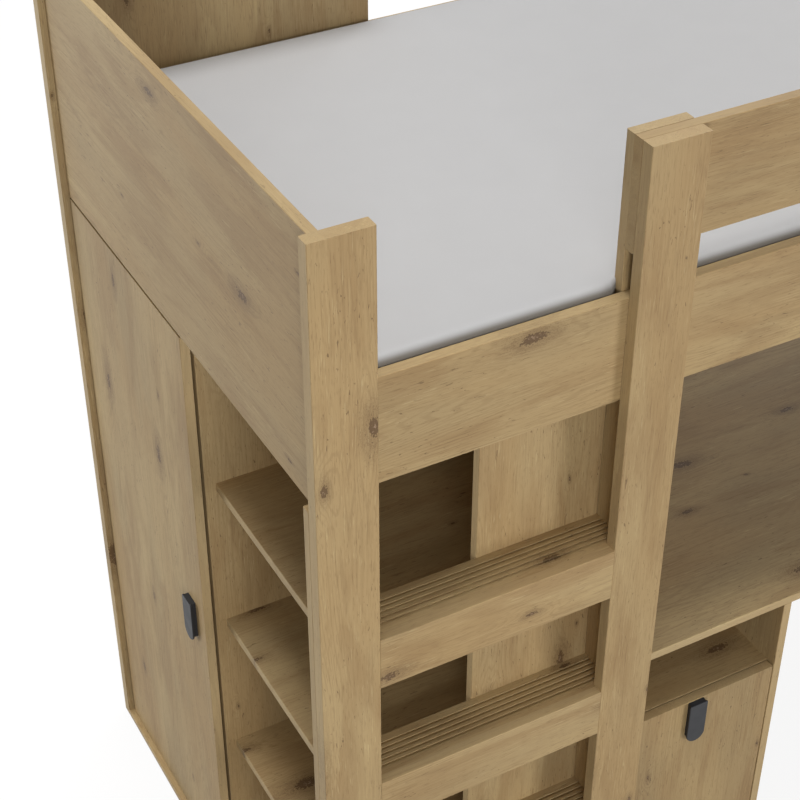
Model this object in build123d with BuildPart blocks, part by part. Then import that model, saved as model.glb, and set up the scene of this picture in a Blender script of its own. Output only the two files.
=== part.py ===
from build123d import *
import os

os.makedirs("parts", exist_ok=True)

# Mattress and the play round it
mattress_length = 2000
mattress_width = 900
mattress_thickness = 150
mattress_end_gap = 1
mattress_side_gap = 1
mattress_round = 12
soft_clearance = 0.3

# Board thicknesses
post_thickness = 22
panel_thickness = 16
rail_thickness = 18
base_thickness = 12
tread_thickness = 18
edge_bevel = 0.8

# Posts and end panels
post_width = 92
end_panel_inset = 11
end_panel_drop = 4.8

# Rails
rail_width = 169
rail_base = 1237.5
guard_gap = 67.5
ledger_height = 20
ledger_depth = 30

# Slats and the woven ribbons that space them
slat_count = 13
slat_width = 72
slat_thickness = 15
slat_end_gap = 6
ribbon_width = 20
ribbon_thickness = 1.2
ribbon_inset = 60

# Ladder
ladder_gap = 390
tread_count = 4
tread_pitch = 293.3
tread_first = 93.1
tread_depth = 86
tread_fascia_height = 93
groove_count = 5
groove_width = 5
groove_pitch = 10
groove_depth = 2.5
groove_start = 28.5
ladder_panel_width = 212

# Wardrobe and bookcase under the left end
cabinet_width = 508
divider_front = 476
divider_setback = 5
door_hinge_gap = 3
door_base_gap = 2
door_top_gap = 4.8
shelf_count = 3
shelf_first = 343
shelf_setback = 50.5
clothes_rail_radius = 12.5
clothes_rail_wall = 1.5
clothes_rail_drop = 85
socket_radius = 19
socket_depth = 12
socket_wall = 2.5

# Desk
desk_height = 694
desk_depth = 700
stretcher_height = 120

# Pedestal with its pull-out
pedestal_right_face = 877
pedestal_depth = 500
pullout_top = 537.5
pullout_base = 18
pullout_gap = 2
drawer_side_height = 330
drawer_side_base = 70
drawer_board = 12
drawer_base_thickness = 6
drawer_base_groove = 5
drawer_rear_room = 28
drawer_back_gap = 8

# Runners at the sides of the pull-out
runner_height = 45
runner_steel = 1.5
runner_play = 0.6
runner_depth = 13
runner_rear_room = 38
runner_centre = 240

# Handles
handle_width = 36
handle_height = 87.5
handle_plate = 3
handle_depth = 11
handle_corner = 3
handle_edge_bevel = 0.8
handle_stem_width = 30
handle_stem_height = 75
pullout_handle_centre = 698
pullout_handle_drop = 2.5
door_handle_centre = 527
door_handle_top = 660.5

# Cup hinges of the door
hinge_cup_radius = 17.5
hinge_cup_depth = 11.5
hinge_cup_edge = 5
hinge_flange = 1
hinge_flange_width = 46
hinge_flange_height = 56
hinge_play = 0.6
hinge_arm_height = 16
hinge_arm_length = 62
hinge_arm_thickness = 11
hinge_plate_length = 34
hinge_plate_height = 52
hinge_plate_thickness = 3
hinge_end_distance = 95

# Bolts, screws, cam locks and dowels
bolt_radius = 3
bolt_head_radius = 7.5
bolt_head_depth = 2.5
bolt_bite = 14
bolt_spread = 40
bolt_inset = 33
screw_radius = 2
screw_head_radius = 4
screw_head_depth = 2.2
screw_bite = 13
cam_radius = 7.5
cam_depth = 12
cam_distance = 24
cam_bolt_radius = 3
cam_bite = 10
dowel_radius = 4
dowel_length = 30
dowel_spread = 30
fastener_play = 0.15
fastener_sides = 8

# Planes worked out from the sizes above, floor at zero
overall_length = mattress_length + 2 * (mattress_end_gap + panel_thickness + end_panel_inset)
overall_depth = post_thickness + rail_thickness + mattress_width + 2 * mattress_side_gap + post_thickness
left = -overall_length / 2
right = overall_length / 2
front = -overall_depth / 2
back = overall_depth / 2
post_back = front + post_thickness
rail_back = post_back + rail_thickness
back_face = back - post_thickness
left_panel_outside = left + end_panel_inset
left_panel_inside = left_panel_outside + panel_thickness
right_panel_outside = right - end_panel_inset
right_panel_inside = right_panel_outside - panel_thickness
stile_left = left + post_width + ladder_gap
stile_right = stile_left + post_width
right_post_left = right - post_width
rail_top = rail_base + rail_width
guard_base = rail_top + guard_gap
overall_height = guard_base + rail_width
ledger_top = rail_base + ledger_height
slat_top = ledger_top + slat_thickness
mattress_base = slat_top + soft_clearance
cabinet_top = rail_base - panel_thickness
end_panel_base = cabinet_top + end_panel_drop
inner_board_back = post_back + panel_thickness
tread_front = front + panel_thickness
tread_back = front + tread_depth
ladder_panel_back = tread_back + panel_thickness
side_panel_left = left + cabinet_width
side_panel_right = side_panel_left + panel_thickness
ladder_panel_left = side_panel_left - ladder_panel_width
divider_left = left_panel_inside + divider_setback
divider_front_face = front + divider_front
divider_back_face = divider_front_face + panel_thickness
door_back_edge = back_face - door_hinge_gap
door_base = base_thickness + door_base_gap
door_top = end_panel_base - door_top_gap
desk_base = desk_height - panel_thickness
desk_back = post_back + desk_depth
pedestal_right = left + pedestal_right_face
pedestal_bay_right = pedestal_right - panel_thickness
pedestal_bay_left = stile_right
pedestal_left = pedestal_bay_left - panel_thickness
pedestal_back_outside = post_back + pedestal_depth
pedestal_back_inside = pedestal_back_outside - panel_thickness
pullout_back = post_back + panel_thickness
niche_front = pullout_back + pullout_gap
drawer_left = pedestal_bay_left + runner_depth
drawer_right = pedestal_bay_right - runner_depth
drawer_back = pedestal_back_inside - drawer_rear_room
runner_length = pedestal_back_inside - runner_rear_room - pullout_back


# The plan outline of a board, drawn at a height
def plan(x_low, x_high, y_low, y_high, height):
    with BuildSketch(Plane.XY.offset(height)) as outline:
        with Locations((x_low, y_low)):
            Rectangle(x_high - x_low, y_high - y_low, align=(Align.MIN, Align.MIN))
    return outline.sketch


# Round rods from a list of places, all pointing one way
def rods(places, way, radius, length):
    with BuildPart() as group:
        for place in places:
            with BuildSketch(Plane(origin=place, z_dir=way)):
                Circle(radius)
            extrude(amount=length)
    return group.part


# The same rods with a few flat sides, for the many hidden fasteners
def faceted_rods(places, way, radius, length):
    with BuildPart() as group:
        for place in places:
            with BuildSketch(Plane(origin=place, z_dir=way)):
                RegularPolygon(radius, fastener_sides)
            extrude(amount=length)
    return group.part


# Bolts or screws with flat heads sunk flush in the face they start from
def headed_rods(places, way, radius, length, head_radius, head_depth):
    with BuildPart() as group:
        add(faceted_rods(places, way, radius, length))
        add(faceted_rods(places, way, head_radius, head_depth))
    return group.part


# A finished piece gets its label and its file
def save(piece, name):
    piece.part.label = name
    export_step(piece.part, f"parts/{name}.step")


# Places of the frame bolts, at the faces where their heads lie
rail_heights = (rail_base + bolt_spread + bolt_bite, rail_top - bolt_spread)
guard_heights = (guard_base + bolt_spread, overall_height - bolt_spread)
stile_middle = stile_left + post_width / 2
inner_face = rail_back + rail_thickness
stile_bolts = [(stile_middle, inner_face, z) for z in rail_heights + guard_heights]
post_bolts = [(left + post_width - bolt_inset, rail_back, z) for z in rail_heights]
post_bolts += [(right_post_left + bolt_inset, rail_back, z) for z in rail_heights + guard_heights]
ledger_middle = rail_base + ledger_height / 2
ledger_front = rail_back + ledger_depth
ledger_back = back_face - ledger_depth
board_bolts = [(left + post_width - bolt_inset, ledger_back, ledger_middle)]
board_bolts += [(stile_middle, ledger_back, ledger_middle)]
board_bolts += [(right_post_left + bolt_inset, ledger_back, ledger_middle)]
bolt_sets = (
    (stile_bolts, (0, -1, 0), rail_thickness + rail_thickness + bolt_bite),
    (post_bolts, (0, -1, 0), rail_thickness + bolt_bite),
    (board_bolts, (0, 1, 0), ledger_depth + bolt_bite),
)

# Places of the ledger screws, spread evenly along the rails
ledger_screw_count = 5
ledger_span = right_panel_inside - left_panel_inside
ledger_steps = [(n + 1) / (ledger_screw_count + 1) for n in range(ledger_screw_count)]
screw_places = [left_panel_inside + ledger_span * step for step in ledger_steps]
front_screws = [(x, ledger_front, ledger_middle) for x in screw_places]
back_screws = [(x, ledger_back, ledger_middle) for x in screw_places]
screw_sets = (
    (front_screws, (0, -1, 0), ledger_depth + screw_bite),
    (back_screws, (0, 1, 0), ledger_depth + screw_bite),
)

# Dowels that join the tread fascias and the shelves to their neighbours
fascia_middle = front + panel_thickness / 2
dowel_half = dowel_length / 2
tread_tops = [tread_first + n * tread_pitch for n in range(tread_count)]
shelf_tops = [shelf_first + n * tread_pitch for n in range(shelf_count)]
fascia_dowels = []
for top in tread_tops:
    for side in (left + post_width, stile_left):
        for rise in (-dowel_spread, dowel_spread):
            middle = top - tread_fascia_height / 2 + rise
            fascia_dowels.append((side - dowel_half, fascia_middle, middle))

# Cam locks in the ends of the two end panels
cam_edges = ((post_back, 1), (back_face, -1))
cam_heights = (end_panel_base + bolt_spread, overall_height - bolt_spread)
cam_walls = ((left_panel_outside, left_panel_inside, 1), (right_panel_outside, right_panel_inside, -1))


# Frame bolts, or the holes they run in when play is added
def frame_fasteners(sets, radius, head_radius, head_depth, play):
    with BuildPart() as group:
        for places, way, length in sets:
            add(headed_rods(places, way, radius + play, length + play, head_radius + play, head_depth + play))
    return group.part


# Cam discs with their bolts, or their holes when play is added and the bolt bores meet the discs
def cam_fasteners(play, bore_end):
    with BuildPart() as group:
        for edge, inward in cam_edges:
            for outside, inside, facing in cam_walls:
                middle = (outside + inside) / 2
                for height in cam_heights:
                    disc_middle = (inside, edge + inward * cam_distance, height)
                    add(faceted_rods([disc_middle], (-facing, 0, 0), cam_radius + play, cam_depth + play))
                    start = (middle, edge - inward * (cam_bite + play), height)
                    reach = cam_bite + play + bore_end
                    add(faceted_rods([start], (0, inward, 0), cam_bolt_radius + play, reach))
    return group.part


bolt_holes = frame_fasteners(bolt_sets, bolt_radius, bolt_head_radius, bolt_head_depth, fastener_play)
screw_holes = frame_fasteners(screw_sets, screw_radius, screw_head_radius, screw_head_depth, fastener_play)
cam_holes = cam_fasteners(fastener_play, cam_distance)
dowel_starts = [(x - fastener_play, y, z) for x, y, z in fascia_dowels]
dowel_holes = faceted_rods(dowel_starts, (1, 0, 0), dowel_radius + fastener_play, dowel_length + 2 * fastener_play)

# Left front post, which is also the ladder's left upright
with BuildPart() as left_front_post:
    extrude(plan(left, left + post_width, front, post_back, 0), amount=overall_height)
    chamfer(left_front_post.edges().filter_by(Axis.Z), edge_bevel)
    add(bolt_holes, mode=Mode.SUBTRACT)
    add(cam_holes, mode=Mode.SUBTRACT)
    add(dowel_holes, mode=Mode.SUBTRACT)
save(left_front_post, "left_front_post")

# Ladder stile
with BuildPart() as ladder_stile:
    extrude(plan(stile_left, stile_right, front, post_back, 0), amount=overall_height)
    chamfer(ladder_stile.edges().filter_by(Axis.Z), edge_bevel)
    add(bolt_holes, mode=Mode.SUBTRACT)
    add(dowel_holes, mode=Mode.SUBTRACT)
save(ladder_stile, "ladder_stile")

# Right front post
with BuildPart() as right_front_post:
    extrude(plan(right_post_left, right, front, post_back, 0), amount=overall_height)
    chamfer(right_front_post.edges().filter_by(Axis.Z), edge_bevel)
    add(bolt_holes, mode=Mode.SUBTRACT)
    add(cam_holes, mode=Mode.SUBTRACT)
save(right_front_post, "right_front_post")

# Wide board behind the wardrobe, which stands up past the mattress
with BuildPart() as left_back_board:
    extrude(plan(left, stile_right, back_face, back, 0), amount=overall_height)
    chamfer(left_back_board.edges().filter_by(Axis.Z), edge_bevel)
    add(bolt_holes, mode=Mode.SUBTRACT)
    add(screw_holes, mode=Mode.SUBTRACT)
    add(cam_holes, mode=Mode.SUBTRACT)
save(left_back_board, "left_back_board")

# Right back post
with BuildPart() as right_back_post:
    extrude(plan(right_post_left, right, back_face, back, 0), amount=overall_height)
    chamfer(right_back_post.edges().filter_by(Axis.Z), edge_bevel)
    add(bolt_holes, mode=Mode.SUBTRACT)
    add(cam_holes, mode=Mode.SUBTRACT)
save(right_back_post, "right_back_post")

# End panels, held between the front posts and the back boards
end_panel_height = overall_height - end_panel_base
with BuildPart() as left_end_panel:
    extrude(
        plan(left_panel_outside, left_panel_inside, post_back, back_face, end_panel_base),
        amount=end_panel_height,
    )
    chamfer(left_end_panel.edges().filter_by(Axis.Y), edge_bevel)
    add(cam_holes, mode=Mode.SUBTRACT)
save(left_end_panel, "left_end_panel")

with BuildPart() as right_end_panel:
    extrude(
        plan(right_panel_inside, right_panel_outside, post_back, back_face, end_panel_base),
        amount=end_panel_height,
    )
    chamfer(right_end_panel.edges().filter_by(Axis.Y), edge_bevel)
    add(cam_holes, mode=Mode.SUBTRACT)
save(right_end_panel, "right_end_panel")

# Long front rail behind the posts and the stile
with BuildPart() as front_rail:
    extrude(plan(left_panel_inside, right_panel_inside, post_back, rail_back, rail_base), amount=rail_width)
    chamfer(front_rail.edges().filter_by(Axis.X), edge_bevel)
    add(bolt_holes, mode=Mode.SUBTRACT)
    add(screw_holes, mode=Mode.SUBTRACT)
save(front_rail, "front_rail")

# Guard rail from the stile to the right end
with BuildPart() as guard_rail:
    extrude(plan(stile_left, right_panel_inside, post_back, rail_back, guard_base), amount=rail_width)
    chamfer(guard_rail.edges().filter_by(Axis.X), edge_bevel)
    add(bolt_holes, mode=Mode.SUBTRACT)
save(guard_rail, "guard_rail")

# Board on the inside of the stile, tying the guard rail to the front rail
with BuildPart() as stile_inner_board:
    extrude(plan(stile_left, stile_right, rail_back, inner_face, slat_top), amount=overall_height - slat_top)
    chamfer(stile_inner_board.edges().filter_by(Axis.Z), edge_bevel)
    add(bolt_holes, mode=Mode.SUBTRACT)
save(stile_inner_board, "stile_inner_board")

# Back rail between the wide board and the right back post
with BuildPart() as back_rail:
    extrude(
        plan(stile_right, right_post_left, back_face, back_face + rail_thickness, rail_base),
        amount=rail_width,
    )
    chamfer(back_rail.edges().filter_by(Axis.X), edge_bevel)
    add(screw_holes, mode=Mode.SUBTRACT)
save(back_rail, "back_rail")

# Ledgers that carry the slats
with BuildPart() as front_ledger:
    extrude(
        plan(left_panel_inside, right_panel_inside, rail_back, ledger_front, rail_base),
        amount=ledger_height,
    )
    add(screw_holes, mode=Mode.SUBTRACT)
save(front_ledger, "front_ledger")

with BuildPart() as back_ledger:
    extrude(
        plan(left_panel_inside, right_panel_inside, ledger_back, back_face, rail_base),
        amount=ledger_height,
    )
    add(bolt_holes, mode=Mode.SUBTRACT)
    add(screw_holes, mode=Mode.SUBTRACT)
save(back_ledger, "back_ledger")

# Slats laid across the ledgers, evenly spaced
slat_room = ledger_span - 2 * slat_end_gap - slat_width
slat_step = slat_room / (slat_count - 1)
slat_starts = [left_panel_inside + slat_end_gap + n * slat_step for n in range(slat_count)]
with BuildPart() as slats:
    for slat_start in slat_starts:
        extrude(
            plan(
                slat_start,
                slat_start + slat_width,
                rail_back + mattress_side_gap,
                back_face - mattress_side_gap,
                ledger_top,
            ),
            amount=slat_thickness,
        )
    chamfer(slats.edges().filter_by(Axis.Y).group_by(Axis.Z)[-1], edge_bevel)
save(slats, "slats")

# Ribbons under the slats, just clear of the ledgers
with BuildPart() as slat_ribbons:
    for ribbon_front in (rail_back + ribbon_inset, back_face - ribbon_inset - ribbon_width):
        extrude(
            plan(
                slat_starts[0],
                slat_starts[-1] + slat_width,
                ribbon_front,
                ribbon_front + ribbon_width,
                ledger_top - ribbon_thickness,
            ),
            amount=ribbon_thickness,
        )
save(slat_ribbons, "slat_ribbons")

# Mattress slab with soft edges, notched round the board inside the stile
with BuildPart() as mattress:
    extrude(
        plan(
            left_panel_inside + mattress_end_gap,
            right_panel_inside - mattress_end_gap,
            rail_back + mattress_side_gap,
            back_face - mattress_side_gap,
            mattress_base,
        ),
        amount=mattress_thickness,
    )
    fillet(mattress.edges(), mattress_round)
    extrude(
        plan(
            stile_left - soft_clearance,
            stile_right + soft_clearance,
            rail_back,
            inner_face + soft_clearance,
            mattress_base,
        ),
        amount=mattress_thickness,
        mode=Mode.SUBTRACT,
    )
save(mattress, "mattress")

# Ladder treads: a fascia at the front and a grooved board behind it
for number, top in enumerate(tread_tops, start=1):
    with BuildPart() as tread_fascia:
        extrude(
            plan(left + post_width, stile_left, front, tread_front, top - tread_fascia_height),
            amount=tread_fascia_height,
        )
        chamfer(tread_fascia.edges().filter_by(Axis.X).group_by(Axis.Y)[0], edge_bevel)
        add(dowel_holes, mode=Mode.SUBTRACT)
    save(tread_fascia, f"tread_fascia_{number}")

    with BuildPart() as tread_board:
        with BuildSketch(Plane.XY.offset(top - tread_thickness)):
            with BuildLine():
                Polyline(
                    (left + post_width, tread_front),
                    (stile_left, tread_front),
                    (stile_left, post_back),
                    (side_panel_left, post_back),
                    (side_panel_left, tread_back),
                    (left + post_width, tread_back),
                    close=True,
                )
            make_face()
        extrude(amount=tread_thickness)
        for groove in range(groove_count):
            groove_front = front + groove_start + groove * groove_pitch
            extrude(
                plan(
                    left + post_width,
                    side_panel_left,
                    groove_front,
                    groove_front + groove_width,
                    top - groove_depth,
                ),
                amount=groove_depth,
                mode=Mode.SUBTRACT,
            )
    save(tread_board, f"tread_board_{number}")

# Panel that closes the right half of the ladder from behind
with BuildPart() as ladder_back_panel:
    extrude(
        plan(ladder_panel_left, side_panel_left, tread_back, ladder_panel_back, base_thickness),
        amount=cabinet_top - base_thickness,
    )
    chamfer(ladder_back_panel.edges().filter_by(Axis.Z), edge_bevel)
save(ladder_back_panel, "ladder_back_panel")

# Board behind the left front post, at the mouth of the bookcase
with BuildPart() as left_inner_board:
    extrude(plan(left, left + post_width, post_back, inner_board_back, 0), amount=end_panel_base)
    chamfer(left_inner_board.edges().filter_by(Axis.Z), edge_bevel)
save(left_inner_board, "left_inner_board")

# Side panel between the cabinet and the desk
with BuildPart() as side_panel:
    extrude(plan(side_panel_left, side_panel_right, post_back, back_face, 0), amount=rail_base)
    chamfer(side_panel.edges().filter_by(Axis.Z), edge_bevel)
save(side_panel, "side_panel")

# Divider between the bookcase and the wardrobe
with BuildPart() as divider:
    extrude(
        plan(divider_left, side_panel_left, divider_front_face, divider_back_face, base_thickness),
        amount=cabinet_top - base_thickness,
    )
    chamfer(divider.edges().filter_by(Axis.Z), edge_bevel)
save(divider, "divider")

# Base board on the floor
with BuildPart() as base_board:
    extrude(plan(left, side_panel_left, inner_board_back, back_face, 0), amount=base_thickness)
    chamfer(base_board.edges().filter_by(Axis.Y), edge_bevel)
save(base_board, "base_board")

# Top of the cabinet, under the bed
with BuildPart() as cabinet_roof:
    extrude(
        plan(left_panel_inside, side_panel_left, inner_board_back, back_face, cabinet_top),
        amount=panel_thickness,
    )
save(cabinet_roof, "cabinet_roof")

# Bookcase shelves, stepped back behind the ladder panel
for number, top in enumerate(shelf_tops, start=1):
    with BuildPart() as shelf:
        with BuildSketch(Plane.XY.offset(top - panel_thickness)):
            with BuildLine():
                Polyline(
                    (left + shelf_setback, inner_board_back),
                    (ladder_panel_left, inner_board_back),
                    (ladder_panel_left, ladder_panel_back),
                    (side_panel_left, ladder_panel_back),
                    (side_panel_left, divider_front_face),
                    (left + shelf_setback, divider_front_face),
                    close=True,
                )
            make_face()
        extrude(amount=panel_thickness)
        chamfer(shelf.edges().filter_by(Axis.Y).group_by(Axis.X)[0], edge_bevel)
    save(shelf, f"shelf_{number}")

# Wardrobe door, with a pocket for each hinge cup
hinge_axis_x = left_panel_outside
cup_middle_y = door_back_edge - hinge_cup_edge - hinge_cup_radius
hinge_heights = (
    door_base + hinge_end_distance,
    (door_base + door_top) / 2,
    door_top - hinge_end_distance,
)
cup_places = [(left_panel_inside, cup_middle_y, z) for z in hinge_heights]
with BuildPart() as wardrobe_door:
    extrude(
        plan(left_panel_outside, left_panel_inside, divider_front_face, door_back_edge, door_base),
        amount=door_top - door_base,
    )
    chamfer(wardrobe_door.edges().filter_by(Axis.Z), edge_bevel)
    add(
        rods(cup_places, (-1, 0, 0), hinge_cup_radius + fastener_play, hinge_cup_depth + fastener_play),
        mode=Mode.SUBTRACT,
    )
save(wardrobe_door, "wardrobe_door")

# Hinge cups sunk in the door, each with its flange on the inner face
with BuildPart() as hinge_cups:
    add(rods(cup_places, (-1, 0, 0), hinge_cup_radius, hinge_cup_depth))
    for cup_place in cup_places:
        with BuildSketch(Plane(origin=cup_place, x_dir=(0, 1, 0), z_dir=(1, 0, 0))):
            RectangleRounded(hinge_flange_width, hinge_flange_height, hinge_flange_height / 8)
        extrude(amount=hinge_flange)
    hollow_depth = hinge_cup_depth + hinge_flange - hinge_plate_thickness
    hollow_places = [(left_panel_inside + hinge_flange, cup_middle_y, z) for z in hinge_heights]
    add(rods(hollow_places, (-1, 0, 0), hinge_cup_radius - hinge_flange, hollow_depth), mode=Mode.SUBTRACT)
save(hinge_cups, "hinge_cups")

# Hinge arms with their plates on the back board
arm_start = left_panel_inside + hinge_flange + hinge_play
arm_end = arm_start + hinge_arm_length
arm_wall = back_face - hinge_plate_thickness
arm_top = arm_wall - hinge_arm_thickness
plate_start = arm_end - hinge_plate_length
with BuildPart() as hinge_arms:
    for hinge_height in hinge_heights:
        with BuildSketch(Plane.XY.offset(hinge_height - hinge_arm_height / 2)):
            with BuildLine():
                Polyline(
                    (arm_start, cup_middle_y - hinge_arm_thickness / 2),
                    (arm_start + hinge_arm_thickness, cup_middle_y - hinge_arm_thickness / 2),
                    (arm_start + 2 * hinge_arm_thickness, arm_top),
                    (arm_end, arm_top),
                    (arm_end, arm_wall),
                    (arm_start + hinge_arm_thickness, arm_wall),
                    (arm_start, cup_middle_y + hinge_arm_thickness / 2),
                    close=True,
                )
            make_face()
        extrude(amount=hinge_arm_height)
        extrude(
            plan(plate_start, arm_end, arm_wall, back_face, hinge_height - hinge_plate_height / 2),
            amount=hinge_plate_height,
        )
save(hinge_arms, "hinge_arms")


# A tab handle: a plate with a round lower end, held off the board by a straight stem
def tab_handle(face):
    half_width = handle_width / 2
    straight = handle_height - half_width
    with BuildSketch(face) as tab:
        with BuildLine():
            tab_side = Polyline((-half_width, -straight), (-half_width, 0), (half_width, 0), (half_width, -straight))
            ThreePointArc(tab_side @ 1, (0, -handle_height), tab_side @ 0)
        make_face()
        fillet(tab.vertices().group_by(Axis.Y)[-1], handle_corner)
    with BuildSketch(face) as stem:
        Rectangle(handle_stem_width, handle_stem_height, align=(Align.CENTER, Align.MAX))
    with BuildPart() as handle:
        extrude(
            tab.sketch.moved(Location(face.z_dir * (handle_depth - handle_plate))),
            amount=handle_plate,
        )
        plate_front = handle.faces().sort_by(Axis(face.origin, face.z_dir))[-1]
        chamfer(plate_front.edges(), handle_edge_bevel)
        extrude(stem.sketch, amount=handle_depth - handle_plate)
    return handle.part


door_handle_face = Plane(
    origin=(left_panel_outside, front + door_handle_centre, door_handle_top),
    x_dir=(0, -1, 0),
    z_dir=(-1, 0, 0),
)
with BuildPart() as door_handle:
    add(tab_handle(door_handle_face))
save(door_handle, "door_handle")

# Clothes rail across the wardrobe, in a socket at each end
rail_x = (left_panel_inside + side_panel_left) / 2
rail_z = cabinet_top - clothes_rail_drop
rail_start = divider_back_face + socket_wall
rail_length = back_face - divider_back_face - 2 * socket_wall
with BuildPart() as clothes_rail:
    add(rods([(rail_x, rail_start, rail_z)], (0, 1, 0), clothes_rail_radius, rail_length))
    add(
        rods([(rail_x, rail_start, rail_z)], (0, 1, 0), clothes_rail_radius - clothes_rail_wall, rail_length),
        mode=Mode.SUBTRACT,
    )
save(clothes_rail, "clothes_rail")

with BuildPart() as rail_sockets:
    for wall, way in ((divider_back_face, 1), (back_face, -1)):
        add(rods([(rail_x, wall, rail_z)], (0, way, 0), socket_radius, socket_depth))
        bore_start = (rail_x, wall + way * socket_wall, rail_z)
        add(
            rods([bore_start], (0, way, 0), clothes_rail_radius + fastener_play, socket_depth),
            mode=Mode.SUBTRACT,
        )
save(rail_sockets, "rail_sockets")

# Desk top and the pieces that carry it
with BuildPart() as desk_top:
    extrude(plan(side_panel_right, right_panel_inside, post_back, desk_back, desk_base), amount=panel_thickness)
    chamfer(desk_top.edges().filter_by(Axis.X), edge_bevel)
save(desk_top, "desk_top")

with BuildPart() as desk_stretcher:
    extrude(
        plan(
            side_panel_right,
            right_panel_inside,
            desk_back - panel_thickness,
            desk_back,
            desk_base - stretcher_height,
        ),
        amount=stretcher_height,
    )
save(desk_stretcher, "desk_stretcher")

with BuildPart() as right_lower_panel:
    extrude(plan(right_panel_inside, right_panel_outside, post_back, back_face, 0), amount=desk_height)
    chamfer(right_lower_panel.edges().filter_by(Axis.Y), edge_bevel)
save(right_lower_panel, "right_lower_panel")

# Pedestal walls, niche floor and back
with BuildPart() as pedestal_left_wall:
    extrude(plan(pedestal_left, pedestal_bay_left, post_back, pedestal_back_outside, 0), amount=desk_base)
    chamfer(pedestal_left_wall.edges().filter_by(Axis.Z), edge_bevel)
save(pedestal_left_wall, "pedestal_left_wall")

with BuildPart() as pedestal_right_wall:
    extrude(plan(pedestal_bay_right, pedestal_right, post_back, pedestal_back_outside, 0), amount=desk_base)
    chamfer(pedestal_right_wall.edges().filter_by(Axis.Z), edge_bevel)
save(pedestal_right_wall, "pedestal_right_wall")

with BuildPart() as pedestal_back:
    extrude(
        plan(pedestal_bay_left, pedestal_bay_right, pedestal_back_inside, pedestal_back_outside, 0),
        amount=desk_base,
    )
save(pedestal_back, "pedestal_back")

niche_base = pullout_top - panel_thickness
with BuildPart() as niche_floor:
    extrude(
        plan(pedestal_bay_left, pedestal_bay_right, niche_front, pedestal_back_inside, niche_base),
        amount=panel_thickness,
    )
    chamfer(niche_floor.edges().filter_by(Axis.X).group_by(Axis.Y)[0], edge_bevel)
save(niche_floor, "niche_floor")

# Front of the pull-out, inset between the pedestal walls
with BuildPart() as pullout_front:
    extrude(
        plan(
            pedestal_bay_left + pullout_gap,
            pedestal_bay_right - pullout_gap,
            post_back,
            pullout_back,
            pullout_base,
        ),
        amount=pullout_top - pullout_base,
    )
    chamfer(pullout_front.edges().filter_by(Axis.Z), edge_bevel)
save(pullout_front, "pullout_front")

# Drawer box behind it, with its bottom held in grooves
groove_height = drawer_side_base + drawer_board
inner_left = drawer_left + drawer_board
inner_right = drawer_right - drawer_board
with BuildPart() as drawer_left_side:
    extrude(plan(drawer_left, inner_left, pullout_back, drawer_back, drawer_side_base), amount=drawer_side_height)
    extrude(
        plan(inner_left - drawer_base_groove, inner_left, pullout_back, drawer_back, groove_height),
        amount=drawer_base_thickness,
        mode=Mode.SUBTRACT,
    )
save(drawer_left_side, "drawer_left_side")

with BuildPart() as drawer_right_side:
    extrude(plan(inner_right, drawer_right, pullout_back, drawer_back, drawer_side_base), amount=drawer_side_height)
    extrude(
        plan(inner_right, inner_right + drawer_base_groove, pullout_back, drawer_back, groove_height),
        amount=drawer_base_thickness,
        mode=Mode.SUBTRACT,
    )
save(drawer_right_side, "drawer_right_side")

with BuildPart() as drawer_back_board:
    extrude(
        plan(inner_left, inner_right, drawer_back - drawer_board, drawer_back, groove_height + drawer_base_thickness),
        amount=drawer_side_height - drawer_board - drawer_base_thickness - drawer_back_gap,
    )
save(drawer_back_board, "drawer_back_board")

with BuildPart() as drawer_base_board:
    extrude(
        plan(
            inner_left - drawer_base_groove,
            inner_right + drawer_base_groove,
            pullout_back,
            drawer_back,
            groove_height,
        ),
        amount=drawer_base_thickness,
    )
save(drawer_base_board, "drawer_base_board")

# Steel runners: an outer channel on each wall and a smaller one on the drawer
runner_top = runner_centre + runner_height / 2
runner_low = runner_centre - runner_height / 2
inner_low = runner_low + runner_steel + runner_play
inner_top = runner_top - runner_steel - runner_play
runner_walls = ((pedestal_bay_left, 1), (pedestal_bay_right, -1))


# A channel section on an upright plane across the bed, open towards one side
def channel(web_x, way, reach, low, top):
    with BuildSketch(Plane.XZ.offset(-pullout_back)) as section:
        with BuildLine():
            Polyline(
                (web_x, low),
                (web_x + way * reach, low),
                (web_x + way * reach, low + runner_steel),
                (web_x + way * runner_steel, low + runner_steel),
                (web_x + way * runner_steel, top - runner_steel),
                (web_x + way * reach, top - runner_steel),
                (web_x + way * reach, top),
                (web_x, top),
                close=True,
            )
        make_face()
    return section.sketch


channel_reach = runner_depth - 2 * runner_steel
with BuildPart() as runner_channels:
    for wall, way in runner_walls:
        extrude(channel(wall, way, channel_reach, runner_low, runner_top), amount=-runner_length)
save(runner_channels, "runner_channels")

with BuildPart() as runner_slides:
    for wall, way in runner_walls:
        drawer_face = wall + way * runner_depth
        extrude(channel(drawer_face, -way, channel_reach, inner_low, inner_top), amount=-runner_length)
save(runner_slides, "runner_slides")

# Handle of the pull-out
pullout_handle_face = Plane(
    origin=(left + pullout_handle_centre, post_back, pullout_top - pullout_handle_drop),
    x_dir=(1, 0, 0),
    z_dir=(0, -1, 0),
)
with BuildPart() as pullout_handle:
    add(tab_handle(pullout_handle_face))
save(pullout_handle, "pullout_handle")

# Fasteners
with BuildPart() as frame_bolts:
    add(frame_fasteners(bolt_sets, bolt_radius, bolt_head_radius, bolt_head_depth, 0))
save(frame_bolts, "frame_bolts")

with BuildPart() as ledger_screws:
    add(frame_fasteners(screw_sets, screw_radius, screw_head_radius, screw_head_depth, 0))
save(ledger_screws, "ledger_screws")

with BuildPart() as cam_locks:
    add(cam_fasteners(0, cam_distance - cam_radius))
save(cam_locks, "cam_locks")

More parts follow.
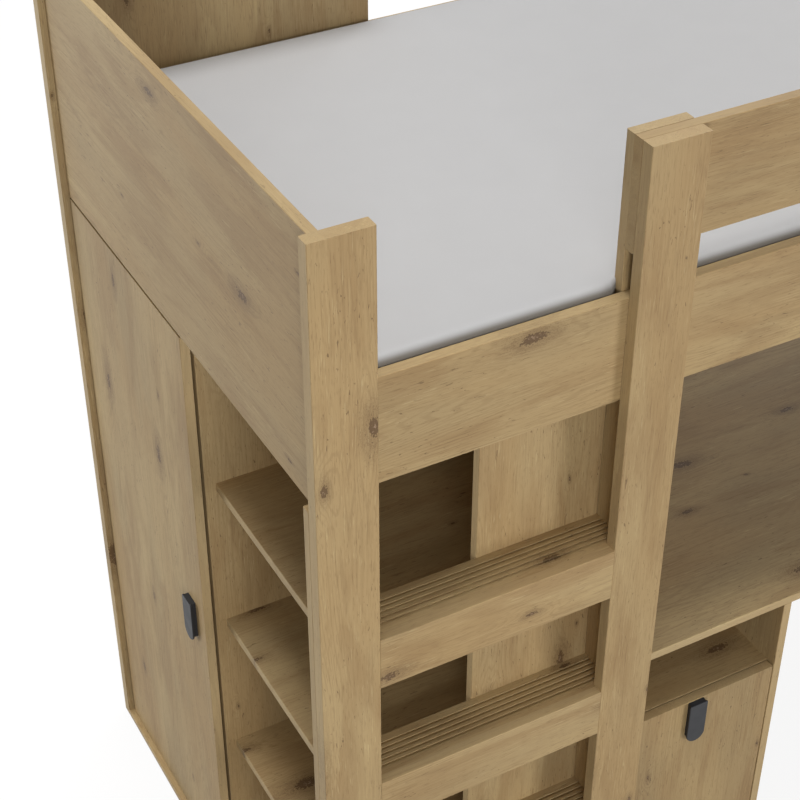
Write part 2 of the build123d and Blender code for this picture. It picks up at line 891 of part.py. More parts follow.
with BuildPart() as dowels:
    add(faceted_rods(fascia_dowels, (1, 0, 0), dowel_radius, dowel_length))
save(dowels, "dowels")
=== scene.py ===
import bpy
import bmesh
import math
import random
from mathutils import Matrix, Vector


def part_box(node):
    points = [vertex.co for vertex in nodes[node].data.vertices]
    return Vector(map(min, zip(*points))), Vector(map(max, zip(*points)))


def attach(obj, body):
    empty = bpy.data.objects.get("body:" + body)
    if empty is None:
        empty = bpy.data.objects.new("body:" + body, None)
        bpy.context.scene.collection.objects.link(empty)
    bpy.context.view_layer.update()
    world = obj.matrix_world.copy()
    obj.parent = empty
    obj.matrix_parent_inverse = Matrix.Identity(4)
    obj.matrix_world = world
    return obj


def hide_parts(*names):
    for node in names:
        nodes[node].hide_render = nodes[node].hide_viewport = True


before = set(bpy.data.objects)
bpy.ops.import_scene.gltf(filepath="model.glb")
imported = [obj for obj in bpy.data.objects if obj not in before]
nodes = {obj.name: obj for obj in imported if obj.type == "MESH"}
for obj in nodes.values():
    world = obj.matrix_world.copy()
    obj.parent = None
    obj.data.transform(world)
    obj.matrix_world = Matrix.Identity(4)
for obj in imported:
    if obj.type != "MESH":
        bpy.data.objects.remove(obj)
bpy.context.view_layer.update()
scene = bpy.context.scene


# shared helpers for materials
def newMaterial(name):
    mat = bpy.data.materials.new(name)
    mat.use_nodes = True
    tree = mat.node_tree
    tree.nodes.clear()
    return mat, tree


def addNode(tree, kind, **values):
    node = tree.nodes.new(kind)
    for key, value in values.items():
        setattr(node, key, value)
    return node


def setInputs(node, values):
    for key, value in values.items():
        node.inputs[key].default_value = value


def mathNode(tree, operation, first, second=None, third=None):
    node = addNode(tree, "ShaderNodeMath", operation=operation)
    for slot, value in enumerate((first, second, third)):
        if value is None:
            continue
        if isinstance(value, (int, float)):
            node.inputs[slot].default_value = value
        else:
            tree.links.new(value, node.inputs[slot])
    return node.outputs[0]


def rangeNode(tree, value, low, high, toLow=0.0, toHigh=1.0):
    node = addNode(tree, "ShaderNodeMapRange", interpolation_type="SMOOTHSTEP")
    tree.links.new(value, node.inputs["Value"])
    setInputs(node, {"From Min": low, "From Max": high, "To Min": toLow, "To Max": toHigh})
    return node.outputs["Result"]


# slots 0, 6 and 7 of a Mix node are its factor and its two colours, and output 2 is the colour
def mixColor(tree, factor, first, second, blend="MIX"):
    node = addNode(tree, "ShaderNodeMix", data_type="RGBA", blend_type=blend)
    for slot, value in ((0, factor), (6, first), (7, second)):
        if isinstance(value, (int, float, tuple)):
            node.inputs[slot].default_value = value
        else:
            tree.links.new(value, node.inputs[slot])
    return node.outputs[2]


def noiseNode(tree, vector, scale, detail=3.0, roughness=0.5, distortion=0.0, output="Fac"):
    node = addNode(tree, "ShaderNodeTexNoise")
    setInputs(node, {"Scale": scale, "Detail": detail, "Roughness": roughness, "Distortion": distortion})
    tree.links.new(vector, node.inputs["Vector"])
    return node.outputs[output]


def stretched(tree, vector, across, along):
    node = addNode(tree, "ShaderNodeVectorMath", operation="MULTIPLY")
    tree.links.new(vector, node.inputs[0])
    node.inputs[1].default_value = (across, across, along)
    return node.outputs[0]


def grainCloud(tree, vector, across, along, detail=2.0, roughness=0.5, distortion=0.0):
    return noiseNode(tree, stretched(tree, vector, across, along), 1.0, detail, roughness, distortion)


def grainMark(tree, vector, across, along, low, high, *cloudForm):
    return rangeNode(tree, grainCloud(tree, vector, across, along, *cloudForm), low, high)


# lays a share of another colour over this one where the mark is
def overlay(tree, color, mark, share, other):
    return mixColor(tree, mathNode(tree, "MULTIPLY", mark, share), color, other)


def addBump(tree, shader, height, strength, depth):
    bump = addNode(tree, "ShaderNodeBump")
    setInputs(bump, {"Strength": strength, "Distance": depth})
    tree.links.new(height, bump.inputs["Height"])
    tree.links.new(bump.outputs[0], shader.inputs["Normal"])


def addOutput(tree, shader, kind="ShaderNodeOutputMaterial"):
    out = addNode(tree, kind)
    tree.links.new(shader.outputs[0], out.inputs["Surface"])


def srgb(red, green, blue):
    linear = [((c / 255 + 0.055) / 1.055) ** 2.4 if c > 10 else c / 255 / 12.92 for c in (red, green, blue)]
    return (*linear, 1.0)


# knotty oak decor: across the board is X, through it Y, and the grain runs along Z
oak = {
    "base": srgb(181, 156, 113),
    "rosy": srgb(176, 148, 104),
    "pale": srgb(198, 175, 129),
    "grey": srgb(160, 141, 105),
    "warm": srgb(150, 120, 80),
    "dark": srgb(128, 101, 67),
    "smoke": srgb(128, 107, 76),
    "knot": srgb(90, 66, 42),
    "heart": srgb(168, 142, 116),
    "hair": srgb(208, 187, 142),
    "band": srgb(214, 193, 150),
    "paleShare": 0.60,
    "greyShare": 0.50,
    "blotchShare": 0.46,
    "lineShare": 0.28,
    "fibreShare": 0.30,
    "poreShare": 0.42,
    "crackShare": 0.50,
    "hairShare": 0.40,
    "fleckShare": 0.62,
    "haloShare": 0.30,
    "ringShare": 0.60,
    "rimShare": 0.28,
    "eyeShare": 0.82,
    "heartShare": 0.65,
    "bandShare": 0.20,
    "bandTurn": (0.8, 0.5),  # how squarely a face points through the board where the band starts and is full
    "fleckRelief": -0.6,
    "eyeRelief": -0.5,
    "bumpStrength": 0.22,
    "bumpDepth": 0.0004,
    "roughness": 0.52,
    "roughnessSpread": 0.12,
    "specular": 0.30,
}

# cells per metre across and along the grain, the noise values where the mark starts
# and is full, then the noise's detail, roughness and distortion
marks = {
    "rosyZone": (7.0, 1.6, 0.38, 0.62),
    "paleZone": (6.0, 1.3, 0.48, 0.70),
    "greyZone": (5.5, 1.7, 0.48, 0.68, 3.0),
    "blotch": (19, 3.6, 0.47, 0.66, 4.0, 0.55, 0.6),
    "lineZone": (11.0, 4.0, 0.38, 0.60),
    "fleck": (340, 72, 0.69, 0.75, 1.0, 0.5, 0.9),
    "fleckZone": (9.0, 5.0, 0.40, 0.55),
    "hair": (430, 24, 0.60, 0.70, 2.0, 0.5, 0.5),
    "hairZone": (24, 9, 0.48, 0.62),
    "crack": (360, 20, 0.63, 0.72, 2.0, 0.5, 0.6),
    "crackZone": (19, 8, 0.50, 0.64),
    "pore": (900, 60, 0.58, 0.74, 1.0),
}

fibreForm = {
    "cloud": (400, 9, 4.0, 0.62, 0.3),
    "darkRange": (0.50, 0.74),
    "paleRange": (0.46, 0.24),
}

growthLines = {
    "cloud": (11.0, 0.55, 3.0, 0.46, 0.25),
    "count": 280.0,
    "lineRange": (0.1, 1.0),
    "zoneStrength": 0.8,
    "bendAtKnots": 0.08,
}

# knots lie in the cells of a long grid: rim, halo and swirl start and fill in at so many
# knot radii, and eye and heart at knot radii with the ragged edge added
knots = {
    "share": 0.52,  # of the cells that hold a knot
    "cellsPerMetre": (8.5, 3.3),
    "drift": (60, 22),
    "driftReach": 0.10,
    "smallest": 0.014,
    "spread": 0.080,
    "rarity": 3.0,  # a higher power leaves fewer large ones
    "edgeCloud": (420, 240),
    "edgeRagged": 2.4,
    "eye": (2.30, 2.00),
    "heart": (1.45, 1.15),
    "rim": (3.0, 0.9),
    "halo": (4.4, 1.0),
    "swirl": (9.0, 0.0),
    "ringTurns": 7.0,
    "ringRange": (0.45, 0.90),
}


def knotField(group, place):
    split = addNode(group, "ShaderNodeSeparateXYZ")
    group.links.new(place, split.inputs[0])
    drift = addNode(group, "ShaderNodeSeparateColor")
    wander = noiseNode(group, stretched(group, place, *knots["drift"]), 1.0, output="Color")
    group.links.new(wander, drift.inputs[0])
    flat = addNode(group, "ShaderNodeCombineXYZ")
    for slot, axis in enumerate((0, 2)):  # across and along the board
        strayed = mathNode(group, "MULTIPLY", drift.outputs[slot], knots["driftReach"])
        cell = mathNode(group, "MULTIPLY_ADD", split.outputs[axis], knots["cellsPerMetre"][slot], strayed)
        group.links.new(cell, flat.inputs[slot])
    cells = addNode(group, "ShaderNodeTexVoronoi", feature="F1", voronoi_dimensions="2D")
    setInputs(cells, {"Scale": 1.0, "Randomness": 1.0})
    group.links.new(flat.outputs[0], cells.inputs["Vector"])
    dice = addNode(group, "ShaderNodeSeparateColor")
    group.links.new(cells.outputs["Color"], dice.inputs[0])
    chosen = mathNode(group, "LESS_THAN", dice.outputs[0], knots["share"])
    large = mathNode(group, "POWER", dice.outputs[1], knots["rarity"])
    radius = mathNode(group, "MULTIPLY_ADD", large, knots["spread"], knots["smallest"])
    nearness = mathNode(group, "DIVIDE", cells.outputs["Distance"], radius)
    return chosen, nearness


def oakGroup():
    group = bpy.data.node_groups.new("knottyOak", "ShaderNodeTree")
    group.interface.new_socket("Vector", in_out="INPUT", socket_type="NodeSocketVector")
    group.interface.new_socket("Color", in_out="OUTPUT", socket_type="NodeSocketColor")
    group.interface.new_socket("Height", in_out="OUTPUT", socket_type="NodeSocketFloat")
    group.interface.new_socket("Gloss", in_out="OUTPUT", socket_type="NodeSocketFloat")
    enter = addNode(group, "NodeGroupInput")
    leave = addNode(group, "NodeGroupOutput")
    place = enter.outputs["Vector"]

    def mark(name):
        return grainMark(group, place, *marks[name])

    def both(first, second):
        return mathNode(group, "MULTIPLY", first, second)

    # knots: a ragged dark eye with a paler heart, rings around it and a smoky halo
    chosen, nearness = knotField(group, place)
    edge = grainCloud(group, place, *knots["edgeCloud"])
    ragged = mathNode(group, "MULTIPLY_ADD", edge, knots["edgeRagged"], nearness)
    knotEye = both(rangeNode(group, ragged, *knots["eye"]), chosen)
    knotHeart = both(rangeNode(group, ragged, *knots["heart"]), chosen)
    knotRim = both(rangeNode(group, nearness, *knots["rim"]), chosen)
    knotHalo = both(rangeNode(group, nearness, *knots["halo"]), chosen)
    swirl = both(rangeNode(group, nearness, *knots["swirl"]), chosen)
    turns = mathNode(group, "SINE", mathNode(group, "MULTIPLY", ragged, knots["ringTurns"]))
    knotRings = both(rangeNode(group, turns, *knots["ringRange"]), knotHalo)

    # growth lines: contours of a long smooth cloud, pushed aside by the knots
    figure = grainCloud(group, place, *growthLines["cloud"])
    figure = mathNode(group, "MULTIPLY_ADD", swirl, growthLines["bendAtKnots"], figure)
    waves = mathNode(group, "SINE", mathNode(group, "MULTIPLY", figure, growthLines["count"]))
    lineFade = mathNode(group, "MULTIPLY", mark("lineZone"), growthLines["zoneStrength"])
    lineFade = mathNode(group, "MAXIMUM", lineFade, swirl)
    growth = both(rangeNode(group, waves, *growthLines["lineRange"]), lineFade)

    # short fibres, dark flecks, light hairlines and dark cracks
    fibres = grainCloud(group, place, *fibreForm["cloud"])
    flecks = both(mark("fleck"), mark("fleckZone"))
    hairs = both(mark("hair"), mark("hairZone"))
    cracks = both(mark("crack"), mark("crackZone"))

    # colour, from broad tone to small marks
    color = mixColor(group, mark("rosyZone"), oak["base"], oak["rosy"])
    color = overlay(group, color, mark("paleZone"), oak["paleShare"], oak["pale"])
    color = overlay(group, color, mark("greyZone"), oak["greyShare"], oak["grey"])
    color = overlay(group, color, mark("blotch"), oak["blotchShare"], oak["warm"])
    color = overlay(group, color, growth, oak["lineShare"], oak["dark"])
    darkFibres = rangeNode(group, fibres, *fibreForm["darkRange"])
    paleFibres = rangeNode(group, fibres, *fibreForm["paleRange"])
    color = overlay(group, color, darkFibres, oak["fibreShare"], oak["dark"])
    color = overlay(group, color, paleFibres, oak["fibreShare"], oak["pale"])
    color = overlay(group, color, mark("pore"), oak["poreShare"], oak["dark"])
    color = overlay(group, color, cracks, oak["crackShare"], oak["dark"])
    color = overlay(group, color, hairs, oak["hairShare"], oak["hair"])
    color = overlay(group, color, flecks, oak["fleckShare"], oak["knot"])
    color = overlay(group, color, knotHalo, oak["haloShare"], oak["smoke"])
    color = overlay(group, color, knotRings, oak["ringShare"], oak["dark"])
    color = overlay(group, color, knotRim, oak["rimShare"], oak["dark"])
    color = overlay(group, color, knotEye, oak["eyeShare"], oak["knot"])
    color = overlay(group, color, knotHeart, oak["heartShare"], oak["heart"])
    group.links.new(color, leave.inputs["Color"])
    relief = mathNode(group, "MULTIPLY_ADD", flecks, oak["fleckRelief"], fibres)
    relief = mathNode(group, "MULTIPLY_ADD", knotEye, oak["eyeRelief"], relief)
    group.links.new(relief, leave.inputs["Height"])
    gloss = mathNode(group, "MULTIPLY_ADD", fibres, oak["roughnessSpread"], oak["roughness"])
    group.links.new(gloss, leave.inputs["Gloss"])
    return group


# a board's axes in the order across, through and along its grain
def boardAxes(grain, low, high):
    along = "XYZ".index(grain)
    others = [axis for axis in range(3) if axis != along]
    across, through = sorted(others, key=lambda axis: low[axis] - high[axis])
    return across, through, along


def boardPlace(tree, coords, axes):
    split = addNode(tree, "ShaderNodeSeparateXYZ")
    tree.links.new(coords.outputs["Object"], split.inputs[0])
    turned = addNode(tree, "ShaderNodeCombineXYZ")
    for slot, axis in enumerate(axes):
        tree.links.new(split.outputs[axis], turned.inputs[slot])
    return turned.outputs[0]


# one on a board's narrow edges, where the decor band is glued on, and zero on its broad faces
def edgeBand(tree, coords, axes):
    facing = addNode(tree, "ShaderNodeSeparateXYZ")
    tree.links.new(coords.outputs["Normal"], facing.inputs[0])
    flatness = mathNode(tree, "ABSOLUTE", facing.outputs[axes[1]])
    return rangeNode(tree, flatness, *oak["bandTurn"])


def oakMaterial(name, group, grain, offset, tint):
    mat, tree = newMaterial("oak_" + name)
    mapping = addNode(tree, "ShaderNodeMapping", vector_type="POINT")
    mapping.inputs["Location"].default_value = offset
    coords = addNode(tree, "ShaderNodeTexCoord")
    axes = boardAxes(grain, *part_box(name))
    tree.links.new(boardPlace(tree, coords, axes), mapping.inputs["Vector"])
    wood = addNode(tree, "ShaderNodeGroup", node_tree=group)
    tree.links.new(mapping.outputs[0], wood.inputs["Vector"])
    shader = addNode(tree, "ShaderNodeBsdfPrincipled")
    shader.inputs["Specular IOR Level"].default_value = oak["specular"]
    band = edgeBand(tree, coords, axes)
    color = overlay(tree, wood.outputs["Color"], band, oak["bandShare"], oak["band"])
    color = mixColor(tree, 1.0, color, (*tint, 1.0), "MULTIPLY")
    tree.links.new(color, shader.inputs["Base Color"])
    tree.links.new(wood.outputs["Gloss"], shader.inputs["Roughness"])
    addBump(tree, shader, wood.outputs["Height"], oak["bumpStrength"], oak["bumpDepth"])
    addOutput(tree, shader)
    return mat


boardGrain = {
    "left_front_post": "Z", "ladder_stile": "Z", "right_front_post": "Z", "left_back_board": "Z",
    "right_back_post": "Z", "left_end_panel": "Y", "right_end_panel": "Y", "front_rail": "X",
    "guard_rail": "X", "stile_inner_board": "Z", "back_rail": "X", "ladder_back_panel": "Z",
    "left_inner_board": "Z", "side_panel": "Z", "divider": "Z", "base_board": "Y", "cabinet_roof": "X",
    "desk_top": "X", "desk_stretcher": "X", "right_lower_panel": "Z", "pedestal_left_wall": "Z",
    "pedestal_right_wall": "Z", "pedestal_back": "Z", "niche_floor": "X", "wardrobe_door": "Z",
    "pullout_front": "Z",
}
for number in range(1, 5):
    boardGrain[f"tread_fascia_{number}"] = "X"
    boardGrain[f"tread_board_{number}"] = "X"
for number in range(1, 4):
    boardGrain[f"shelf_{number}"] = "X"

# matched so that each board's lit face comes out as bright as the photographed one: the pull-out front's
# factor is painted shade for the weaker light low down, the left back board's is painted light, and the
# others are the boards' own tones; set by eye so that each board's lit face comes out as bright as the
# photographed one, which may partly be the room's light rather than the board itself
toneAndPaintedLight = {
    "left_front_post": 1.05, "left_back_board": 1.12, "guard_rail": 0.86, "pullout_front": 0.82,
    "front_rail": 0.94, "ladder_stile": 0.94,
}

boardVariety = {
    "seed": 11,
    "shift": 9,
    "shade": (0.90, 0.96),
    "middleShade": 0.93,
    "greenLean": 0.2,
    "blueLean": 0.5,
}


def paint(node, mat):
    slots = nodes[node].data.materials
    slots.clear()
    slots.append(mat)


oakNodes = oakGroup()
boardRandom = random.Random(boardVariety["seed"])
for name in sorted(boardGrain):
    offset = tuple(boardRandom.uniform(-boardVariety["shift"], boardVariety["shift"]) for _ in range(3))
    # times the tone table's factor, which is painted shade on the pull-out front and painted light on the
    # left back board
    shade = boardRandom.uniform(*boardVariety["shade"]) * toneAndPaintedLight.get(name, 1.0)
    # a darker board is a little browner too
    lean = shade / boardVariety["middleShade"]
    tint = (shade, shade * lean ** boardVariety["greenLean"], shade * lean ** boardVariety["blueLean"])
    paint(name, oakMaterial(name, oakNodes, boardGrain[name], offset, tint))
print("oak decor on", len(boardGrain), "boards")

# plain wood of the slats, ledgers, dowels and the drawer box
plainWood = {
    "streaks": (140, 2.5),
    "streakDetail": (4.0, 0.6),
    "figure": (14, 0.9),
    "lineCount": 60.0,
    "lineRange": (-0.2, 1.0),
    "lineShare": 0.35,
    "streakShare": 0.6,
    "bumpStrength": 0.2,
    "bumpDepth": 0.0003,
    "specular": 0.3,
}
plainBoards = {
    "pineAcross": {
        "color": srgb(222, 196, 152), "darker": srgb(196, 158, 108), "grain": "Y", "roughness": 0.6,
        "pieces": ("slats",),
    },
    "pineAlong": {
        "color": srgb(220, 194, 150), "darker": srgb(194, 156, 106), "grain": "X", "roughness": 0.6,
        "pieces": ("front_ledger", "back_ledger", "dowels"),
    },
    "drawerBoard": {
        "color": srgb(186, 160, 122), "darker": srgb(158, 130, 92), "grain": "Y", "roughness": 0.55,
        "pieces": ("drawer_left_side", "drawer_right_side", "drawer_back_board", "drawer_base_board"),
    },
}


def plainMaterial(name, look):
    mat, tree = newMaterial(name)
    coords = addNode(tree, "ShaderNodeTexCoord")
    place = boardPlace(tree, coords, boardAxes(look["grain"], (0, 0, 0), (3, 2, 1)))
    streak = grainCloud(tree, place, *plainWood["streaks"], *plainWood["streakDetail"])
    figure = grainCloud(tree, place, *plainWood["figure"])
    waves = mathNode(tree, "SINE", mathNode(tree, "MULTIPLY", figure, plainWood["lineCount"]))
    lines = rangeNode(tree, waves, *plainWood["lineRange"])
    streaks = mathNode(tree, "MULTIPLY", streak, plainWood["streakShare"])
    shade = mathNode(tree, "MULTIPLY_ADD", lines, plainWood["lineShare"], streaks)
    shader = addNode(tree, "ShaderNodeBsdfPrincipled")
    setInputs(shader, {"Roughness": look["roughness"], "Specular IOR Level": plainWood["specular"]})
    tree.links.new(mixColor(tree, shade, look["color"], look["darker"]), shader.inputs["Base Color"])
    addBump(tree, shader, streak, plainWood["bumpStrength"], plainWood["bumpDepth"])
    addOutput(tree, shader)
    return mat


for name, look in plainBoards.items():
    plain = plainMaterial(name, look)
    for piece in look["pieces"]:
        paint(piece, plain)

# zinc-plated steel of the fittings, faintly brushed
steelLook = {
    "color": srgb(198, 200, 202),
    "darker": srgb(168, 171, 175),
    "brush": (260, 900, 3.0),
    "cloudScale": 60.0,
    "cloudRange": (0.3, 0.7),
    "roughness": (0.26, 0.42),
}


def steelMaterial():
    mat, tree = newMaterial("zincSteel")
    place = addNode(tree, "ShaderNodeTexCoord").outputs["Object"]
    brushed = grainCloud(tree, place, *steelLook["brush"])
    cloudy = noiseNode(tree, place, steelLook["cloudScale"])
    shader = addNode(tree, "ShaderNodeBsdfPrincipled")
    setInputs(shader, {"Metallic": 1.0})
    color = mixColor(tree, cloudy, steelLook["color"], steelLook["darker"])
    roughness = rangeNode(tree, brushed, *steelLook["cloudRange"], *steelLook["roughness"])
    tree.links.new(color, shader.inputs["Base Color"])
    tree.links.new(roughness, shader.inputs["Roughness"])
    addOutput(tree, shader)
    return mat


steel = steelMaterial()
for name in ("clothes_rail", "rail_sockets", "runner_channels", "runner_slides", "hinge_arms",
             "hinge_cups", "frame_bolts", "ledger_screws", "cam_locks"):
    paint(name, steel)

# woven cloth of the slat ribbons and the mattress
weaveForm = {
    "cloudScale": 14.0,
    "cloudDetail": 4.0,
    "cloudShare": 0.5,
    "lintScale": 700.0,
    "lintDetail": 2.0,
    "lintShare": 0.4,
    "lintRelief": 0.6,
    "uprightRelief": 0.5,
    "bumpDepth": 0.0004,
    "specular": 0.2,
}
ribbonCloth = {
    "color": srgb(226, 222, 208),
    "darker": srgb(206, 200, 184),
    "pitch": 0.0016,
    "roughness": 0.85,
    "bumpStrength": 0.5,
    "sheen": 0.1,
}


def wovenMaterial(name, look, paintedSideShade=None):
    mat, tree = newMaterial(name)
    place = addNode(tree, "ShaderNodeTexCoord").outputs["Object"]
    split = addNode(tree, "ShaderNodeSeparateXYZ")
    tree.links.new(place, split.inputs[0])
    threads = []
    for axis in range(3):
        turns = mathNode(tree, "MULTIPLY", split.outputs[axis], 2 * math.pi / look["pitch"])
        threads.append(mathNode(tree, "SINE", turns))
    weave = mathNode(tree, "MULTIPLY", threads[0], threads[1])
    weave = mathNode(tree, "MULTIPLY_ADD", threads[2], weaveForm["uprightRelief"], weave)
    cloudy = noiseNode(tree, place, weaveForm["cloudScale"], weaveForm["cloudDetail"])
    lint = noiseNode(tree, place, weaveForm["lintScale"], weaveForm["lintDetail"])
    cloudy = mathNode(tree, "MULTIPLY", cloudy, weaveForm["cloudShare"])
    shade = mathNode(tree, "MULTIPLY_ADD", lint, weaveForm["lintShare"], cloudy)
    shader = addNode(tree, "ShaderNodeBsdfPrincipled")
    setInputs(shader, {"Roughness": look["roughness"], "Specular IOR Level": weaveForm["specular"],
                       "Sheen Weight": look["sheen"]})
    cloth = mixColor(tree, shade, look["color"], look["darker"])
    if paintedSideShade:  # painted shade: a dark grey below the given heights
        side = rangeNode(tree, split.outputs[2], paintedSideShade["high"], paintedSideShade["low"])
        cloth = mixColor(tree, side, cloth, paintedSideShade["color"])
    tree.links.new(cloth, shader.inputs["Base Color"])
    relief = mathNode(tree, "MULTIPLY_ADD", lint, weaveForm["lintRelief"], weave)
    addBump(tree, shader, relief, look["bumpStrength"], weaveForm["bumpDepth"])
    addOutput(tree, shader)
    return mat


paint("slat_ribbons", wovenMaterial("ribbonWeave", ribbonCloth))
print("plain finishes done")

# handles: matt blue-black
handleLook = {
    "color": srgb(22, 23, 26),
    "lighter": srgb(29, 30, 34),
    "cloudScale": 45.0,
    "cloudRange": (0.3, 0.7),
    "roughness": (0.48, 0.58),
    "gritScale": 2400.0,
    "gritDetail": 2.0,
    "bumpStrength": 0.12,
    "bumpDepth": 0.0002,
    "specular": 0.4,
}


def handleMaterial():
    mat, tree = newMaterial("handlePaint")
    place = addNode(tree, "ShaderNodeTexCoord").outputs["Object"]
    grit = noiseNode(tree, place, handleLook["gritScale"], handleLook["gritDetail"])
    cloudy = noiseNode(tree, place, handleLook["cloudScale"])
    shader = addNode(tree, "ShaderNodeBsdfPrincipled")
    shader.inputs["Specular IOR Level"].default_value = handleLook["specular"]
    color = mixColor(tree, cloudy, handleLook["color"], handleLook["lighter"])
    roughness = rangeNode(tree, cloudy, *handleLook["cloudRange"], *handleLook["roughness"])
    tree.links.new(color, shader.inputs["Base Color"])
    tree.links.new(roughness, shader.inputs["Roughness"])
    addBump(tree, shader, grit, handleLook["bumpStrength"], handleLook["bumpDepth"])
    addOutput(tree, shader)
    return mat


handlePaint = handleMaterial()
for name in ("door_handle", "pullout_handle"):
    paint(name, handlePaint)

# mattress: a firm slab with soft edges, pressed in by the board behind the stile
mattressSize = {
    "edgeRound": 0.014,
    "cornerRound": 0.012,
    "edgeSteps": 6,
    "cellLength": 0.02,
    "crown": 0.003,
    "crownPower": 4,
    "waver": 0.0012,
    "waverAcross": (9.1, 1.3),  # turns per metre in radians, and where they start
    "waverAlong": (7.3, 0.4),
    "pressSoft": 0.012,
    "clear": 0.0006,
}
mattressCloth = {
    "color": srgb(197, 198, 200),
    "darker": srgb(189, 190, 192),
    # painted shade: the mattress's sides are dark grey from just below the top edge down, standing for the
    # shade in the crevice beside the rails
    "paintedSideShade": srgb(112, 108, 102),
    "paintedSideShadeDrop": (0.001, 0.013),  # below the top: where the painted side shade starts and is full
    "pitch": 0.0011,
    "roughness": 0.9,
    "bumpStrength": 0.35,
    "sheen": 0.15,
}


def makeMattress():
    low, high = (Vector(corner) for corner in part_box("mattress"))
    board = [Vector(corner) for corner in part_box("stile_inner_board")]
    size = high - low
    middle = (low + high) / 2
    bm = bmesh.new()
    bmesh.ops.create_cube(bm, size=1.0)
    bmesh.ops.scale(bm, vec=size, verts=bm.verts)
    bmesh.ops.translate(bm, vec=middle, verts=bm.verts)
    upright = [edge for edge in bm.edges if abs(edge.verts[0].co.z - edge.verts[1].co.z) > size.z / 2]
    bmesh.ops.bevel(bm, geom=upright, offset=mattressSize["cornerRound"], offset_type="OFFSET",
                    segments=mattressSize["edgeSteps"], profile=0.5, affect="EDGES", material=-1)
    rims = [edge for edge in bm.edges if abs(edge.verts[0].co.z - edge.verts[1].co.z) < size.z / 2]
    bmesh.ops.bevel(bm, geom=rims, offset=mattressSize["edgeRound"], offset_type="OFFSET",
                    segments=mattressSize["edgeSteps"], profile=0.5, affect="EDGES", material=-1)
    for axis in range(3):  # even cuts keep the long faces soft
        steps = max(1, round(size[axis] / mattressSize["cellLength"]))
        normal = [0.0, 0.0, 0.0]
        normal[axis] = 1.0
        for cut in range(1, steps):
            point = Vector(low)
            point[axis] = low[axis] + size[axis] * cut / steps
            reach = point[axis] - low[axis]
            if mattressSize["edgeRound"] < reach < size[axis] - mattressSize["edgeRound"]:
                bmesh.ops.bisect_plane(bm, geom=list(bm.verts) + list(bm.edges) + list(bm.faces),
                                       plane_co=point, plane_no=normal)
    turnX, startX = mattressSize["waverAcross"]
    turnY, startY = mattressSize["waverAlong"]
    power = mattressSize["crownPower"]
    pressDepth = board[1].y + mattressSize["clear"]
    soft = mattressSize["pressSoft"]
    for vert in bm.verts:
        across = (vert.co.x - middle.x) / (size.x / 2)
        along = (vert.co.y - middle.y) / (size.y / 2)
        dome = max(0.0, 1 - across ** power) * max(0.0, 1 - along ** power)
        if vert.co.z > middle.z:
            wave = math.sin(vert.co.x * turnX + startX) * math.sin(vert.co.y * turnY + startY)
            vert.co.z += dome * (mattressSize["waver"] * wave) - mattressSize["crown"] * (1 - dome)
        beside = max(board[0].x - vert.co.x, vert.co.x - board[1].x, 0.0)
        push = pressDepth - vert.co.y
        if beside < soft and push > 0:
            ease = 1 - beside / soft
            vert.co.y += push * ease * ease * (3 - 2 * ease)
    mesh = bpy.data.meshes.new("mattressCover")
    bm.normal_update()
    bm.to_mesh(mesh)
    bm.free()
    for face in mesh.polygons:
        face.use_smooth = True
    piece = bpy.data.objects.new("mattressCover", mesh)
    scene.collection.objects.link(piece)
    # the sides below the top get the painted shade
    start, full = mattressCloth["paintedSideShadeDrop"]
    paintedSideShade = {"low": high.z - full, "high": high.z - start, "color": mattressCloth["paintedSideShade"]}
    mesh.materials.append(wovenMaterial("mattressCloth", mattressCloth, paintedSideShade))
    return piece


mattress = makeMattress()
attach(mattress, "bed_frame")
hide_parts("mattress")
print("mattress done")

# floor, light and camera
lightPlan = {
    "sideLevel": 0.06,
    "topLevel": 0.36,
    "topFrom": 0.9,
    "roomTint": (1.0, 0.93, 0.85, 1.0),
    "overheadStrength": 2.3,
    "overheadAngle": 30.0,
    "overheadFrom": (0.0, 0.08, 1.0),
    "softboxSize": 1.4,
    "aim": (-0.5, 0.0, 0.9),
}
softboxes = {
    "frontSoftbox": {"power": 66.0, "place": (1.6, -4.0, 0.7)},
    "fillSoftbox": {"power": 66.0, "place": (-2.0, -3.6, 1.8)},
    "sideSoftbox": {"power": 60.0, "place": (-3.8, 2.6, 0.8)},
    "rearSoftbox": {"power": 54.0, "place": (3.8, 4.0, 2.4)},
}
floorPlan = {
    "halfSize": 30.0,
    "tone": (0.07, 0.07, 0.07, 1.0),
    "seen": (0.95, 0.95, 0.95, 1.0),
    "whiteShare": 0.88,
}
cameraPlan = {
    "lens": 80.0,
    "sensorWidth": 36.0,
    "place": (-1.7624, -2.0559, 2.7104),
    "tilt": 53.39,
    "turn": -28.57,
}


# one for rays from the camera, a reflection or clear material, and zero for those that light the bed
def seenDirectly(tree):
    rays = addNode(tree, "ShaderNodeLightPath")
    direct = mathNode(tree, "MAXIMUM", rays.outputs["Is Camera Ray"], rays.outputs["Is Glossy Ray"])
    return mathNode(tree, "MAXIMUM", direct, rays.outputs["Is Transmission Ray"])


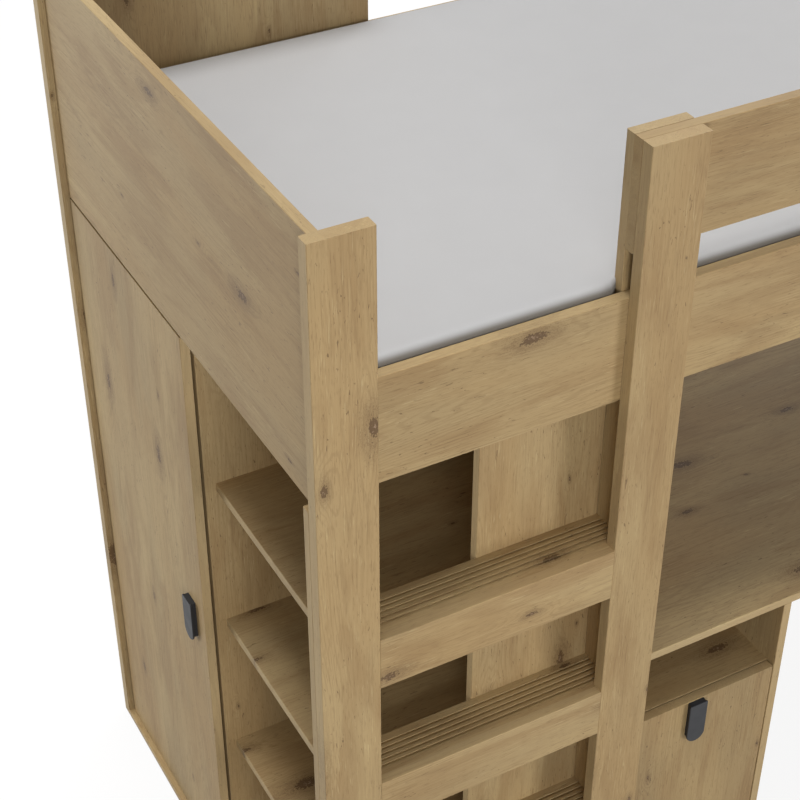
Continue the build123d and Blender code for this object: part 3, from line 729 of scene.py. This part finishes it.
def makeFloor():
    bm = bmesh.new()
    bmesh.ops.create_grid(bm, x_segments=1, y_segments=1, size=floorPlan["halfSize"])
    mesh = bpy.data.meshes.new("floor")
    bm.to_mesh(mesh)
    bm.free()
    floor = bpy.data.objects.new("floor", mesh)
    scene.collection.objects.link(floor)
    mat, tree = newMaterial("paleFloor")
    direct = seenDirectly(tree)
    matt = addNode(tree, "ShaderNodeBsdfDiffuse")
    tree.links.new(mixColor(tree, direct, floorPlan["tone"], floorPlan["seen"]), matt.inputs["Color"])
    glow = addNode(tree, "ShaderNodeEmission")
    setInputs(glow, {"Color": (1, 1, 1, 1), "Strength": 1.0})
    mix = addNode(tree, "ShaderNodeMixShader")
    tree.links.new(mathNode(tree, "MULTIPLY", direct, floorPlan["whiteShare"]), mix.inputs[0])
    tree.links.new(matt.outputs[0], mix.inputs[1])
    tree.links.new(glow.outputs[0], mix.inputs[2])
    addOutput(tree, mix)
    mesh.materials.append(mat)


def makeWorld():
    world = bpy.data.worlds.new("paleRoom")
    scene.world = world
    world.use_nodes = True
    tree = world.node_tree
    tree.nodes.clear()
    direct = seenDirectly(tree)
    backdrop = addNode(tree, "ShaderNodeBackground")
    setInputs(backdrop, {"Color": (1, 1, 1, 1), "Strength": 1.0})
    # the room's own light comes mostly from overhead
    coords = addNode(tree, "ShaderNodeTexCoord")
    split = addNode(tree, "ShaderNodeSeparateXYZ")
    tree.links.new(coords.outputs["Generated"], split.inputs[0])
    level = rangeNode(tree, split.outputs[2], 0.0, lightPlan["topFrom"],
                      lightPlan["sideLevel"], lightPlan["topLevel"])
    room = addNode(tree, "ShaderNodeBackground")
    setInputs(room, {"Color": lightPlan["roomTint"]})
    tree.links.new(level, room.inputs["Strength"])
    mix = addNode(tree, "ShaderNodeMixShader")
    tree.links.new(direct, mix.inputs[0])
    tree.links.new(room.outputs[0], mix.inputs[1])
    tree.links.new(backdrop.outputs[0], mix.inputs[2])
    addOutput(tree, mix, "ShaderNodeOutputWorld")


def makeOverhead():
    data = bpy.data.lights.new("overhead", "SUN")
    data.energy = lightPlan["overheadStrength"]
    data.angle = math.radians(lightPlan["overheadAngle"])
    lamp = bpy.data.objects.new("overhead", data)
    lamp.rotation_euler = Vector(lightPlan["overheadFrom"]).to_track_quat("Z", "Y").to_euler()
    scene.collection.objects.link(lamp)


def makeSoftbox(name, power, place):
    data = bpy.data.lights.new(name, "AREA")
    data.energy = power
    data.size = lightPlan["softboxSize"]
    lamp = bpy.data.objects.new(name, data)
    lamp.location = place
    away = Vector(place) - Vector(lightPlan["aim"])
    lamp.rotation_euler = away.to_track_quat("Z", "Y").to_euler()
    scene.collection.objects.link(lamp)


def makeCamera():
    data = bpy.data.cameras.new("view")
    data.lens = cameraPlan["lens"]
    data.sensor_width = cameraPlan["sensorWidth"]
    camera = bpy.data.objects.new("view", data)
    camera.location = cameraPlan["place"]
    camera.rotation_euler = (math.radians(cameraPlan["tilt"]), 0.0, math.radians(cameraPlan["turn"]))
    scene.collection.objects.link(camera)
    scene.camera = camera


makeFloor()
makeWorld()
makeOverhead()
for name, box in softboxes.items():
    makeSoftbox(name, box["power"], box["place"])
makeCamera()
scene.view_settings.view_transform = "Standard"
print("floor, light and camera done")
